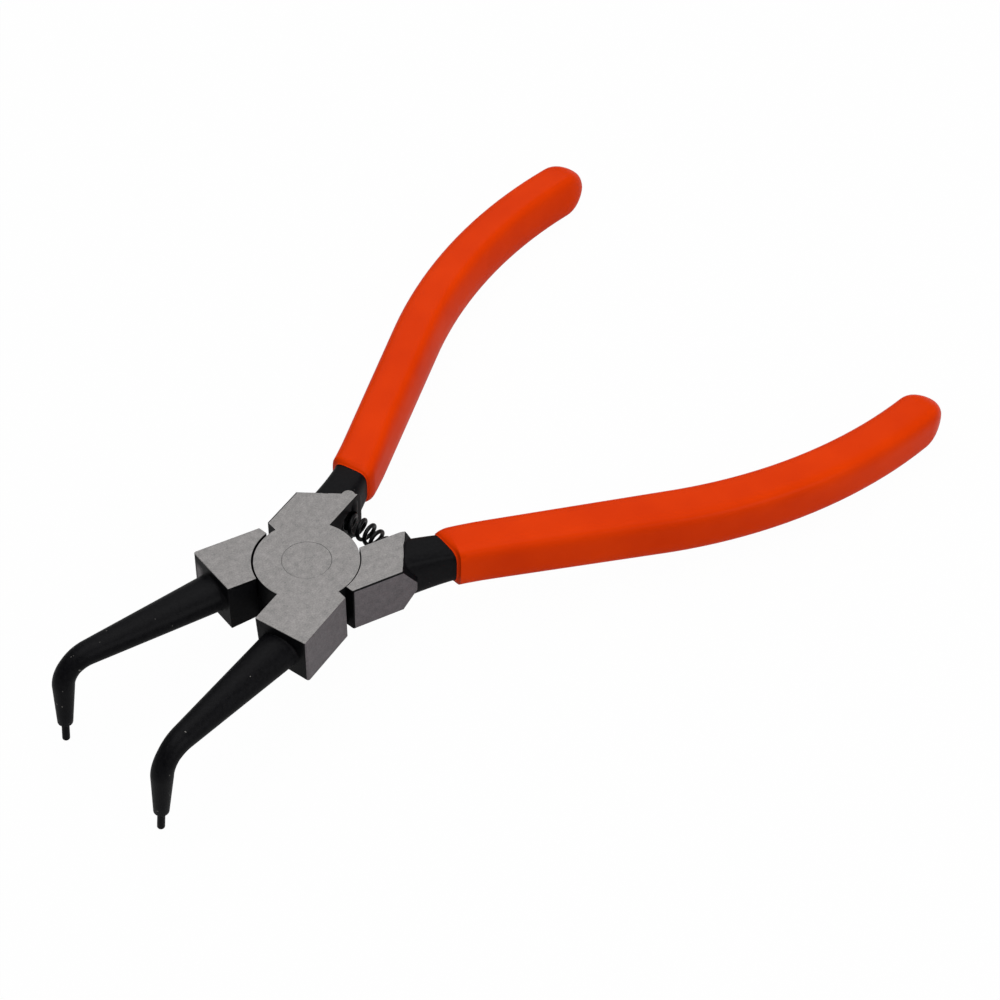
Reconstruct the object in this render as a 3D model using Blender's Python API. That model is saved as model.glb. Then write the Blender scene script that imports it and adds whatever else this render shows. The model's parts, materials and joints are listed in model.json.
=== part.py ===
"""Bent-nose circlip pliers for internal retaining rings, nominal length 180 mm (7 in).

Two drop-forged levers cross at a lap joint and turn on one flush rivet. Squeezing the handles
closes the noses, and a coil spring between the handle blocks opens them again. The tangs are
dipped in soft PVC. The model lies on a bench as the real tool does: on its two turned-down
tips and the two ends of its grips.

Each lever is drawn in the closed position, with +X from the tips to the handles, the pivot on
the Z axis and the lap plane at z = 0. An empty on the pivot then opens it.
"""

import math

import bmesh
import bpy
from mathutils import Matrix, Vector

MM = 0.001
DEG = math.pi / 180

# Opening: each lever is turned this far from the closed position
REST_HALF_ANGLE = 15.1 * DEG

# Head: ground flat on both faces and on its outer sides
HEAD_THICKNESS = 10.3 * MM
DISC_RADIUS = 10.2 * MM
DISC_CLEARANCE = 0.3 * MM
LAP_GAP = 0.1 * MM
BLOCK_OUTER_SIDE = 11.65 * MM
BLOCK_CORNER_RADIUS = 0.5 * MM
FORGING_ALLOWANCE = 0.6 * MM

# Jaw block, which carries the nose
JAW_INNER_SIDE = 0.15 * MM
JAW_REACH = 16.9 * MM
JAW_FRONT_SLANT = 5.4 * DEG
JAW_BACK_ANGLE = 110.0 * DEG

# Handle block, which runs into the neck. Its ground face ends at a slanting edge, and slopes
# on both faces fall from there to a blunt end
HANDLE_INNER_SIDE = 1.4 * MM
HANDLE_FRONT_ANGLE = 70.4 * DEG
HANDLE_FACE_REACH = 14.3 * MM
HANDLE_END_ANGLE = 61.0 * DEG
HANDLE_SLOPE_RUN = 2.7 * MM
HANDLE_END_HEIGHT = 2.0 * MM
HANDLE_CORNER_RADIUS = 1.5 * MM

# Nose: a tapered oval that bends down to a round tip and a turned pin
NOSE_ROOT_SIDE = 5.6 * MM
NOSE_ROOT_HALF_WIDTH = 4.3 * MM
NOSE_ROOT_HALF_HEIGHT = 3.35 * MM
NOSE_ROOT_FLARE = 0.7 * MM
NOSE_ROOT_FLARE_LENGTH = 1.6 * MM
NOSE_LENGTH = 32.7 * MM
NOSE_TOE_IN = 6.2 * DEG
NOSE_BEND_RADIUS = 5.9 * MM
NOSE_BEND_HALF_WIDTH = 2.1 * MM
NOSE_DROP = 14.95 * MM
NOSE_DROP_LEAN = 5.3 * DEG
NOSE_DROP_TOE_IN = 2.5 * DEG
TIP_RADIUS = 1.5 * MM
TIP_SHOULDER_LENGTH = 0.5 * MM
PIN_RADIUS = 0.75 * MM
PIN_LENGTH = 4.4 * MM
PIN_END_ROUND = 0.4 * MM

# Handle centreline: it turns out of the block, runs straight, then bows back in
HANDLE_ROOT_REACH = 13.0 * MM
HANDLE_ROOT_SIDE = 6.2 * MM
HANDLE_FLARE_RADIUS = 79.0 * MM
HANDLE_FLARE_ANGLE = 15.55 * DEG
HANDLE_STRAIGHT = 36.8 * MM
HANDLE_BOW_RADIUS = 113.9 * MM
HANDLE_BOW_LENGTH = 62.8 * MM

# Neck, from the block to the front of the grip, and the tang inside the grip
NECK_LENGTH = 13.8 * MM
NECK_ROOT_HALF_WIDTH = 4.15 * MM
NECK_ROOT_HALF_HEIGHT = 5.05 * MM
NECK_ROOT_CORNER_POWER = 4.0
TANG_FRONT_HALF_WIDTH = 3.7 * MM
TANG_FRONT_HALF_HEIGHT = 4.15 * MM
TANG_BOW_HALF_WIDTH = 4.05 * MM
TANG_BOW_HALF_HEIGHT = 4.6 * MM
TANG_END_HALF_WIDTH = 3.7 * MM
TANG_END_HALF_HEIGHT = 4.55 * MM
TANG_CORNER_POWER = 3.0

# Dipped PVC grip
GRIP_WALL = 0.85 * MM
GRIP_FIT_GAP = 0.1 * MM
GRIP_END_WALL = 1.6 * MM
GRIP_LIP_ROUND = 0.4 * MM
DOME_FLAT_SHARE = 0.15

# Rivet, ground flush at both ends
RIVET_SHANK_RADIUS = 3.6 * MM
RIVET_HEAD_RADIUS = 4.8 * MM
RIVET_HEAD_DEPTH = 1.5 * MM
RIVET_FIXED_GAP = 0.04 * MM
RIVET_RUNNING_GAP = 0.07 * MM

# Return spring, which bends round the pivot, and the blind pockets that hold its ends
SPRING_REACH = 16.6 * MM
SPRING_MEAN_RADIUS = 1.9 * MM
SPRING_WIRE_RADIUS = 0.42 * MM
SPRING_PITCH = 2.1 * MM
SPRING_CLOSED_PITCH = 0.92 * MM
SPRING_START_ANGLE = 90.0 * DEG
SPRING_SEAT_GAP = 0.15 * MM
POCKET_DEPTH = 2.5 * MM
POCKET_CLEARANCE = 0.25 * MM

# Fineness of the round shapes
RING_POINTS = 24
DISC_STEP_ANGLE = 7.5 * DEG
TURNED_STEPS = 48
POCKET_STEPS = 24
CORNER_STEPS = 3
BEND_STEPS = 8
NECK_STEPS = 3
BOW_STEPS = 8
DOME_STEPS = 5
SPRING_STEPS_PER_TURN = 16

# How far a cutter runs past the face that it cuts
PAST = 2 * MM


def clear_scene():
    for thing in list(bpy.data.objects):
        bpy.data.objects.remove(thing)


def material(name, colour, roughness, metallic):
    made = bpy.data.materials.new(name)
    made.use_nodes = True
    shader = made.node_tree.nodes["Principled BSDF"]
    shader.inputs["Base Color"].default_value = (*colour, 1.0)
    shader.inputs["Roughness"].default_value = roughness
    shader.inputs["Metallic"].default_value = metallic
    return made


def empty(name, parent=None):
    made = bpy.data.objects.new(name, None)
    bpy.context.scene.collection.objects.link(made)
    made.parent = parent
    return made


def mesh_object(name, shape, parent):
    """Turns a bmesh into an object, with its faces pointing out and its round faces smooth."""
    bmesh.ops.recalc_face_normals(shape, faces=shape.faces)
    mesh = bpy.data.meshes.new(name)
    shape.to_mesh(mesh)
    shape.free()
    mesh.shade_smooth()
    mesh.set_sharp_from_angle(angle=30 * DEG)
    made = bpy.data.objects.new(name, mesh)
    bpy.context.scene.collection.objects.link(made)
    made.parent = parent
    return made


def tool(name, shape, parent):
    """A cutter or a form to be joined: drawn as wire and left out of the model."""
    made = mesh_object(name, shape, parent)
    made.hide_render = True
    made.display_type = "WIRE"
    return made


def combine(target, operation, other):
    modifier = target.modifiers.new(f"{operation.lower()} {other.name}", "BOOLEAN")
    modifier.operation = operation
    modifier.object = other


# Plane and solid shapes


def polar(radius, angle):
    return Vector((radius * math.cos(angle), radius * math.sin(angle), 0))


def arc(radius, start, end):
    """Points on a circle round the pivot, from one angle to the other."""
    steps = max(1, round(abs(end - start) / DISC_STEP_ANGLE))
    return [polar(radius, start + (end - start) * i / steps) for i in range(steps + 1)]


def rounded_corner(before, corner, after, radius):
    """Points that round one corner of an outline."""
    one = (before - corner).normalized()
    two = (after - corner).normalized()
    half = one.angle(two) / 2
    centre = corner + (one + two).normalized() * (radius / math.sin(half))
    start = corner + one * (radius / math.tan(half)) - centre
    end = corner + two * (radius / math.tan(half)) - centre
    shares = [i / CORNER_STEPS for i in range(CORNER_STEPS + 1)]
    return [centre + start.slerp(end, share) * radius for share in shares]


def prism(outline, low, high):
    """An outline in plan, extruded from one height to another."""
    return loft([[Vector((p.x, p.y, height)) for p in outline] for height in (low, high)])


def loft(rings):
    """A closed skin through rings with equal numbers of points, with a flat cap at each end."""
    shape = bmesh.new()
    rows = [[shape.verts.new(point) for point in ring] for ring in rings]
    count = len(rows[0])
    for row, following in zip(rows, rows[1:]):
        for i in range(count):
            j = (i + 1) % count
            shape.faces.new((row[i], row[j], following[j], following[i]))
    shape.faces.new(rows[0])
    shape.faces.new(rows[-1])
    return shape


def turned(profile, steps=TURNED_STEPS):
    """A turned shape about Z. The profile lists (radius, height) from one end to the other."""
    angles = [2 * math.pi * i / steps for i in range(steps)]
    return loft(
        [[polar(radius, angle) + Vector((0, 0, height)) for angle in angles] for radius, height in profile]
    )


def oval(centre, across, up, half_width, half_height, power=2.0):
    """A ring of points: an ellipse at power 2, squarer above it."""
    ring = []
    for i in range(RING_POINTS):
        angle = 2 * math.pi * i / RING_POINTS
        u, v = math.cos(angle), math.sin(angle)
        u = math.copysign(abs(u) ** (2 / power), u)
        v = math.copysign(abs(v) ** (2 / power), v)
        ring.append(centre + across * (u * half_width) + up * (v * half_height))
    return ring


def mirrored(points, side):
    return [Vector((p.x, p.y * side, p.z)) for p in points]


def mix(one, two, share):
    return one + (two - one) * min(1.0, max(0.0, share))


def quarter_round(steps):
    """How far along a quarter of a circle has gone, and what is left of its radius, at each step."""
    angles = [math.pi / 2 * (i + 1) / steps for i in range(steps)]
    return [(math.sin(angle), math.cos(angle)) for angle in angles]


# Head of a lever, drawn for the lever whose jaw is at +Y


def handle_end_normal():
    """The way the handle block's end faces, in plan."""
    return polar(1, HANDLE_END_ANGLE - math.pi / 2)


def handle_end_reach(side_distance, past_face=0.0):
    """X of the handle block's end at a distance from the tool's centre plane."""
    slant = (BLOCK_OUTER_SIDE - side_distance) / math.tan(HANDLE_END_ANGLE)
    return HANDLE_FACE_REACH + slant + past_face / math.sin(HANDLE_END_ANGLE)


def head_outline():
    """Jaw block, disc and handle block in plan, clockwise from the jaw's inner front corner."""
    jaw_inner_front = Vector((-JAW_REACH, JAW_INNER_SIDE, 0))
    slant = (BLOCK_OUTER_SIDE - JAW_INNER_SIDE) * math.tan(JAW_FRONT_SLANT)
    jaw_outer_front = Vector((-JAW_REACH - slant, BLOCK_OUTER_SIDE, 0))
    jaw_outer_back = polar(BLOCK_OUTER_SIDE / math.sin(JAW_BACK_ANGLE), JAW_BACK_ANGLE)
    handle_outer_front = polar(BLOCK_OUTER_SIDE / math.sin(HANDLE_FRONT_ANGLE), -HANDLE_FRONT_ANGLE)
    handle_outer_back = Vector((handle_end_reach(BLOCK_OUTER_SIDE, HANDLE_SLOPE_RUN), -BLOCK_OUTER_SIDE, 0))
    handle_inner_back = Vector((handle_end_reach(HANDLE_INNER_SIDE, HANDLE_SLOPE_RUN), -HANDLE_INNER_SIDE, 0))
    jaw_meets_disc = math.pi - math.asin(JAW_INNER_SIDE / DISC_RADIUS)
    handle_meets_disc = -math.asin(HANDLE_INNER_SIDE / DISC_RADIUS)
    handle_meets = polar(DISC_RADIUS, handle_meets_disc)
    return [
        jaw_inner_front,
        *arc(DISC_RADIUS, jaw_meets_disc, 2 * math.pi - HANDLE_FRONT_ANGLE),
        handle_outer_front,
        handle_outer_back,
        *rounded_corner(handle_outer_back, handle_inner_back, handle_meets, HANDLE_CORNER_RADIUS),
        *arc(DISC_RADIUS, handle_meets_disc, JAW_BACK_ANGLE),
        jaw_outer_back,
        *rounded_corner(jaw_outer_back, jaw_outer_front, jaw_inner_front, BLOCK_CORNER_RADIUS),
    ]


def slope_cutter(side, face):
    """The wedge that cuts one slope at the handle block's end. face is +1 on top, -1 below."""
    half = HEAD_THICKNESS / 2
    fall = half - HANDLE_END_HEIGHT / 2
    back = PAST * HANDLE_SLOPE_RUN / fall
    profile = [
        (-back, half + PAST),
        (HANDLE_SLOPE_RUN + PAST, half - fall * (1 + PAST / HANDLE_SLOPE_RUN)),
        (HANDLE_SLOPE_RUN + PAST, half + PAST),
    ]
    normal = handle_end_normal()
    along = Vector((-normal.y, normal.x, 0))
    corner = Vector((HANDLE_FACE_REACH, -BLOCK_OUTER_SIDE, 0))
    rings = []
    for distance in (-PAST, (BLOCK_OUTER_SIDE - HANDLE_INNER_SIDE) / math.sin(HANDLE_END_ANGLE) + PAST):
        start = corner + along * distance
        ring = [start + normal * out + Vector((0, 0, height * face)) for out, height in profile]
        rings.append(mirrored(ring, side))
    return loft(rings)


# Nose of a lever


def nose_directions():
    """The way the nose points before its bend, and after it."""
    forward = Vector((-math.cos(NOSE_TOE_IN), -math.sin(NOSE_TOE_IN), 0))
    drop = Vector((-math.tan(NOSE_DROP_LEAN), -math.tan(NOSE_DROP_TOE_IN), -1)).normalized()
    return forward, drop


def nose_path():
    """Distances, centres and directions along the nose, with where its bend is halfway and where it ends."""
    forward, drop = nose_directions()
    root = Vector((-JAW_REACH, NOSE_ROOT_SIDE, 0))
    bend = forward.angle(drop)
    trim = NOSE_BEND_RADIUS * math.tan(bend / 2)
    inward = (drop - forward * forward.dot(drop)).normalized()
    centre = root + forward * (NOSE_LENGTH - trim) + inward * NOSE_BEND_RADIUS
    path = []
    for distance in (-PAST, 0.0, NOSE_ROOT_FLARE_LENGTH / 2, NOSE_ROOT_FLARE_LENGTH):
        path.append((distance, root + forward * distance, forward))
    straight = NOSE_LENGTH - trim
    for i in range(BEND_STEPS + 1):
        angle = bend * i / BEND_STEPS
        point = centre + (forward * math.sin(angle) - inward * math.cos(angle)) * NOSE_BEND_RADIUS
        heading = forward * math.cos(angle) + inward * math.sin(angle)
        path.append((straight + NOSE_BEND_RADIUS * angle, point, heading))
    bend_end, point, _ = path[-1]
    for share in (0.5, 1.0):
        distance = (NOSE_DROP - trim) * share
        path.append((bend_end + distance, point + drop * distance, drop))
    return path, straight + NOSE_BEND_RADIUS * bend / 2, bend_end


def nose_loft(side):
    """The oval nose, its round tip, and the turned pin with a rounded end."""
    path, bend_at, bend_end = nose_path()
    forward, drop = nose_directions()
    across = forward.cross(drop).normalized()
    end_at = path[-1][0]
    rings = []
    for at, centre, heading in path:
        if at <= bend_at:
            half_width = mix(NOSE_ROOT_HALF_WIDTH, NOSE_BEND_HALF_WIDTH, at / bend_at)
            half_height = mix(NOSE_ROOT_HALF_HEIGHT, NOSE_BEND_HALF_WIDTH, at / bend_at)
        else:
            half_width = mix(NOSE_BEND_HALF_WIDTH, TIP_RADIUS, (at - bend_end) / (end_at - bend_end))
            half_height = half_width
        flare = NOSE_ROOT_FLARE * mix(1.0, 0.0, at / NOSE_ROOT_FLARE_LENGTH) ** 2
        up = across.cross(heading)
        rings.append(oval(centre, across, up, half_width + flare, half_height + flare))
    tip = path[-1][1]
    up = across.cross(drop)
    steps = quarter_round(CORNER_STEPS)
    turned_end = [(TIP_SHOULDER_LENGTH * out, mix(PIN_RADIUS, TIP_RADIUS, left)) for out, left in steps]
    straight_end = TIP_SHOULDER_LENGTH + PIN_LENGTH - PIN_END_ROUND
    turned_end.append((straight_end, PIN_RADIUS))
    for out, left in steps:
        turned_end.append((straight_end + PIN_END_ROUND * out, PIN_RADIUS - PIN_END_ROUND * (1 - left)))
    for distance, radius in turned_end:
        rings.append(oval(tip + drop * distance, across, up, radius, radius))
    return loft([mirrored(ring, side) for ring in rings])


# Handle centreline, neck, tang and grip


def bow_start():
    """Distance from the root of the handle to where it starts to bow back in."""
    return HANDLE_FLARE_RADIUS * HANDLE_FLARE_ANGLE + HANDLE_STRAIGHT


def handle_length():
    return bow_start() + HANDLE_BOW_LENGTH


def handle_frame(at):
    """Centre and heading of the handle's centreline, at a distance along it from its root."""
    point = Vector((HANDLE_ROOT_REACH, -HANDLE_ROOT_SIDE, 0))
    turn = min(at, HANDLE_FLARE_RADIUS * HANDLE_FLARE_ANGLE) / HANDLE_FLARE_RADIUS
    point += HANDLE_FLARE_RADIUS * Vector((math.sin(turn), math.cos(turn) - 1, 0))
    heading = -turn
    straight = min(at, bow_start()) - HANDLE_FLARE_RADIUS * HANDLE_FLARE_ANGLE
    if straight > 0:
        point += polar(straight, heading)
    if at > bow_start():
        centre = point + polar(HANDLE_BOW_RADIUS, heading + math.pi / 2)
        heading += (at - bow_start()) / HANDLE_BOW_RADIUS
        point = centre + polar(HANDLE_BOW_RADIUS, heading - math.pi / 2)
    return point, heading


def neck_root():
    """Distance along the handle's centreline at which it comes out of the block's end."""
    return handle_end_reach(HANDLE_ROOT_SIDE) - HANDLE_ROOT_REACH


def tang_section(at):
    """Half width, half height and squareness of the steel at a distance along the handle."""
    sizes = [
        (neck_root(), NECK_ROOT_HALF_WIDTH, NECK_ROOT_HALF_HEIGHT, NECK_ROOT_CORNER_POWER),
        (NECK_LENGTH, TANG_FRONT_HALF_WIDTH, TANG_FRONT_HALF_HEIGHT, TANG_CORNER_POWER),
        (bow_start(), TANG_BOW_HALF_WIDTH, TANG_BOW_HALF_HEIGHT, TANG_CORNER_POWER),
        (handle_length(), TANG_END_HALF_WIDTH, TANG_END_HALF_HEIGHT, TANG_CORNER_POWER),
    ]
    for (start, *first), (stop, *second) in zip(sizes, sizes[1:]):
        if at <= stop:
            break
    share = (at - start) / (stop - start)
    return tuple(mix(one, two, share) for one, two in zip(first, second))


def handle_ring(at, grown=0.0, share=1.0, past=0.0):
    """A section of the handle: the steel's, grown all round, and shrunk to a share for a domed end."""
    centre, heading = handle_frame(at + past)
    across = polar(1, heading + math.pi / 2)
    half_width, half_height, power = tang_section(at)
    if at < NECK_LENGTH:
        centre = centre + across * (half_width - TANG_FRONT_HALF_WIDTH)
    width = (half_width + grown) * share
    height = (half_height + grown) * share
    return oval(centre, across, Vector((0, 0, 1)), width, height, power)


def dome(length):
    """Distance past the last full section, and share of its size, at each step of a domed end."""
    return [(length * out, mix(DOME_FLAT_SHARE, 1.0, left)) for out, left in quarter_round(DOME_STEPS)]


def bow_stations():
    return [bow_start() + HANDLE_BOW_LENGTH * i / BOW_STEPS for i in range(BOW_STEPS + 1)]


def neck_and_tang(side):
    """The forging behind the head: it leaves the block as an oval and runs on inside the grip."""
    root = neck_root()
    neck = [root + (NECK_LENGTH - root) * i / NECK_STEPS for i in range(NECK_STEPS + 1)]
    rings = [handle_ring(at) for at in (root - PAST, *neck, *bow_stations())]
    end = handle_length()
    rings += [handle_ring(end, 0, share, past) for past, share in dome(TANG_END_HALF_WIDTH)]
    return loft([mirrored(ring, side) for ring in rings])


def grip_shell(side):
    """A cup over the tang, skinned from the bottom of its cavity, round the lip, to its domed end."""
    fit = GRIP_FIT_GAP
    outer = fit + GRIP_WALL
    end = handle_length()
    cavity_dome = dome(TANG_END_HALF_WIDTH + fit)
    outer_dome = dome(TANG_END_HALF_WIDTH + fit + GRIP_END_WALL)
    rings = [handle_ring(end, fit, share, past) for past, share in reversed(cavity_dome)]
    rings += [handle_ring(at, fit) for at in reversed(bow_stations())]
    rings.append(handle_ring(NECK_LENGTH, fit))
    rings.append(handle_ring(NECK_LENGTH, outer - GRIP_LIP_ROUND))
    rings.append(handle_ring(NECK_LENGTH + GRIP_LIP_ROUND, outer))
    rings += [handle_ring(at, outer) for at in bow_stations()]
    rings += [handle_ring(end, outer, share, past) for past, share in outer_dome]
    return loft([mirrored(ring, side) for ring in rings])


# Rivet, its holes, and the spring's pockets


def rivet_profile(gap):
    """The rivet's outline, or with a gap the hole that takes it, from the underside to the top."""
    half = HEAD_THICKNESS / 2
    head, shank = RIVET_HEAD_RADIUS + gap, RIVET_SHANK_RADIUS + gap
    return [
        (head, -half),
        (shank, -half + RIVET_HEAD_DEPTH),
        (shank, half - RIVET_HEAD_DEPTH),
        (head, half),
    ]


def rivet_hole(gap):
    """The hole's cutter, which carries its countersinks past both faces."""
    low, *middle, high = rivet_profile(gap)
    slope = (RIVET_HEAD_RADIUS - RIVET_SHANK_RADIUS) / RIVET_HEAD_DEPTH
    wider = low[0] + PAST * slope
    return turned([(wider, low[1] - PAST), *middle, (wider, high[1] + PAST)])


def pocket_angle(depth):
    """Angle at the pivot from a lever's centre line to a depth in its pocket, on the spring's line."""
    return math.asin(HANDLE_INNER_SIDE / SPRING_REACH) + depth / SPRING_REACH


def pocket_cutter(side):
    """A blind round hole along the line that the spring takes round the pivot.

    Its facets are turned by half a step, so that none of their edges lies in the lap plane.
    """
    radius = SPRING_MEAN_RADIUS + SPRING_WIRE_RADIUS + POCKET_CLEARANCE
    middle = POCKET_DEPTH / 2
    shape = turned([(radius, -middle - PAST), (radius, middle)], POCKET_STEPS)
    bmesh.ops.rotate(shape, verts=shape.verts, matrix=Matrix.Rotation(math.pi / POCKET_STEPS, 3, "Z"))
    bmesh.ops.rotate(shape, verts=shape.verts, matrix=Matrix.Rotation(-math.pi / 2 * side, 3, "X"))
    bmesh.ops.translate(shape, verts=shape.verts, vec=(SPRING_REACH, 0, 0))
    bmesh.ops.rotate(shape, verts=shape.verts, matrix=Matrix.Rotation(pocket_angle(middle) * side, 3, "Z"))
    return shape


# The pieces


def build_lever(name, side, disc_side, pivot, rivet_gap, finish):
    """One forged lever. side is +1 with its jaw at +Y, and disc_side is +1 with its disc on top."""
    half = HEAD_THICKNESS / 2
    raw = half + FORGING_ALLOWANCE
    lever = mesh_object(name, prism(mirrored(head_outline(), side), -raw, raw), pivot)
    lever.data.materials.append(finish)
    for face, sign in (("upper", 1), ("lower", -1)):
        combine(lever, "DIFFERENCE", tool(f"{name}_{face}_slope", slope_cutter(side, sign), pivot))
    combine(lever, "UNION", tool(f"{name}_nose_form", nose_loft(side), pivot))
    combine(lever, "UNION", tool(f"{name}_neck_form", neck_and_tang(side), pivot))
    lap = LAP_GAP / 2 * disc_side
    low, high = sorted((lap, -disc_side * (raw + PAST)))
    recess = DISC_RADIUS + DISC_CLEARANCE
    clearing = turned([(recess, low), (recess, high)])
    combine(lever, "DIFFERENCE", tool(f"{name}_lap_recess", clearing, pivot))
    ground = BLOCK_OUTER_SIDE * 2
    square = [Vector((x * ground, y * ground, 0)) for x, y in ((-1, -1), (1, -1), (1, 1), (-1, 1))]
    for face, low, high in (("top", half, raw + PAST), ("underside", -raw - PAST, -half)):
        combine(lever, "DIFFERENCE", tool(f"{name}_{face}_grind", prism(square, low, high), pivot))
    combine(lever, "DIFFERENCE", tool(f"{name}_rivet_hole", rivet_hole(rivet_gap), pivot))
    combine(lever, "DIFFERENCE", tool(f"{name}_spring_pocket", pocket_cutter(-side), pivot))
    return lever


def build_grip(name, side, pivot, finish):
    grip = mesh_object(name, grip_shell(side), pivot)
    grip.data.materials.append(finish)
    return grip


def build_rivet(pivot, finish):
    rivet = mesh_object("pivot_rivet", turned(rivet_profile(0)), pivot)
    rivet.data.materials.append(finish)
    return rivet


def build_spring(parent, finish):
    """A compression spring with closed end turns, as round wire on a helix that bends round the pivot."""
    seat = SPRING_REACH * (REST_HALF_ANGLE + pocket_angle(POCKET_DEPTH))
    top = seat - SPRING_SEAT_GAP - SPRING_WIRE_RADIUS
    turns = (2 * top - 2 * SPRING_CLOSED_PITCH) / SPRING_PITCH + 2
    count = round(turns * SPRING_STEPS_PER_TURN)
    curve = bpy.data.curves.new("return_spring", "CURVE")
    curve.dimensions = "3D"
    curve.bevel_depth = SPRING_WIRE_RADIUS
    curve.bevel_resolution = 2
    curve.use_fill_caps = True
    line = curve.splines.new("POLY")
    line.points.add(count)
    for i in range(count + 1):
        turn = turns * i / count
        if turn < 1:
            rise = SPRING_CLOSED_PITCH * turn
        elif turn <= turns - 1:
            rise = SPRING_CLOSED_PITCH + SPRING_PITCH * (turn - 1)
        else:
            rise = 2 * top - SPRING_CLOSED_PITCH * (turns - turn)
        flat = polar(SPRING_MEAN_RADIUS, -2 * math.pi * turn - SPRING_START_ANGLE)
        bent = polar(SPRING_REACH + flat.x, (rise - top) / SPRING_REACH)
        line.points[i].co = (bent.x, bent.y, flat.y, 1)
    curve.materials.append(finish)
    spring = bpy.data.objects.new("return_spring", curve)
    bpy.context.scene.collection.objects.link(spring)
    spring.parent = parent
    return spring


def lie_on_bench(bench, pieces):
    """Tilts the tool until tips and grips touch z = 0, with the middle of its length at x = 0."""
    bpy.context.view_layer.update()
    graph = bpy.context.evaluated_depsgraph_get()
    points = []
    for piece in pieces:
        shown = piece.evaluated_get(graph)
        points += [shown.matrix_world @ vertex.co for vertex in shown.data.vertices]
    tilt = 0.0
    for _ in range(6):
        turn = Matrix.Rotation(tilt, 3, "Y")
        placed = [turn @ point for point in points]
        front = min((p for p in placed if p.x < 0), key=lambda p: p.z)
        rear = min((p for p in placed if p.x > 0), key=lambda p: p.z)
        tilt += math.atan2(rear.z - front.z, rear.x - front.x)
    turn = Matrix.Rotation(tilt, 3, "Y")
    placed = [turn @ point for point in points]
    along = [p.x for p in placed]
    bench.rotation_euler.y = tilt
    bench.location = (-(min(along) + max(along)) / 2, 0, -min(p.z for p in placed))


def main():
    clear_scene()
    black = material("black phosphated steel", (0.012, 0.012, 0.013), 0.42, 0.35)
    steel = material("ground steel", (0.40, 0.39, 0.37), 0.38, 1.0)
    orange = material("orange PVC", (0.72, 0.065, 0.008), 0.34, 0.0)
    wire = material("black spring wire", (0.01, 0.01, 0.01), 0.35, 0.6)

    bench = empty("bench_pose")
    upper = empty("upper_lever_pivot", bench)
    lower = empty("lower_lever_pivot", bench)
    upper.rotation_euler.z = REST_HALF_ANGLE
    lower.rotation_euler.z = -REST_HALF_ANGLE

    levers = [
        build_lever("upper_lever", -1, 1, upper, RIVET_FIXED_GAP, black),
        build_lever("lower_lever", 1, -1, lower, RIVET_RUNNING_GAP, black),
    ]
    grips = [
        build_grip("upper_lever_grip", -1, upper, orange),
        build_grip("lower_lever_grip", 1, lower, orange),
    ]
    build_rivet(upper, steel)
    build_spring(bench, wire)
    lie_on_bench(bench, levers + grips)


main()
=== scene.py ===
# Bent-nose circlip pliers for internal retaining rings, lying open on a white table top.
# The steel is forged and blacked, the head is ground bright, and the handles are dipped in PVC.

import json
import math

import bmesh
import bpy
from mathutils import Matrix, Vector


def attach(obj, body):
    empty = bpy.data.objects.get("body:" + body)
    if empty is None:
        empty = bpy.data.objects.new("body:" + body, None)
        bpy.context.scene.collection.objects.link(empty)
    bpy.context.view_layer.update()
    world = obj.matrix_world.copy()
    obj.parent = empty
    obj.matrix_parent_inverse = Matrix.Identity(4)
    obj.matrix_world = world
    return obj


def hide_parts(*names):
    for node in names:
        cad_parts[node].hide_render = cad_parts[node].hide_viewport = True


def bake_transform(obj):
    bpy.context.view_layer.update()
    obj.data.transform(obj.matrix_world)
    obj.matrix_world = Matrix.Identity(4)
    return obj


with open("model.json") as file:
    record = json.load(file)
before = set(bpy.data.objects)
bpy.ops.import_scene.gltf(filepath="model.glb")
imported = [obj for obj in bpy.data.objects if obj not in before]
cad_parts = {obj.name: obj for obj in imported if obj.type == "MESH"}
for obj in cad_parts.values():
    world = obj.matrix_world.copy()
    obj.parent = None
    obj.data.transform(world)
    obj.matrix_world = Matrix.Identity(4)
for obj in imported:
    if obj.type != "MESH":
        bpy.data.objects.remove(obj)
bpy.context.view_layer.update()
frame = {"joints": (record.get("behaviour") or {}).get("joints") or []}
MM = 0.001


# How the pliers lie
# They rest on their two turned-down tips and the ends of the grips, so the pivot leans forward.
# Every piece is drawn as if the pliers were shut and level, with +X towards the handles, the
# pivot on Z and the lap of the two levers at z = 0. Then it is opened and laid on the table.

pivot = frame["joints"][0]
pivot_axis = Vector(pivot["axis"])
lean = math.atan2(pivot_axis.x, pivot_axis.z)
on_table = Matrix.Translation(pivot["pos_m"]) @ Matrix.Rotation(lean, 4, "Y")
half_opening = math.radians(15.1)


# Camera
# It looks down at about 45 degrees past the tips, from the left of the handles, and it is
# turned a little about its own line of sight.

camera = bpy.data.objects.new("camera", bpy.data.cameras.new("camera"))
bpy.context.scene.collection.objects.link(camera)
camera.data.sensor_width = 36
camera.data.lens = 81.74
camera.data.clip_start = 0.05
camera_place = Vector((-188.42, -232.09, 320.64)) * MM
line_of_sight = Vector((0.5088, 0.4903, -0.7076))
camera_turn = line_of_sight.to_track_quat("-Z", "Y").to_matrix().to_4x4()
camera_roll = Matrix.Rotation(math.radians(2.256), 4, "Z")
camera.matrix_world = on_table @ Matrix.Translation(camera_place) @ camera_turn @ camera_roll
bpy.context.scene.camera = camera


# The two levers
# Each is one drop forging in chrome-vanadium steel: jaw block, disc and handle block, with a
# tapered nose bent down in front and a squared neck and tang behind. The forging is blacked.
# Then the head is ground bright on both faces and both outer sides, and the pin is turned.

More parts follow.
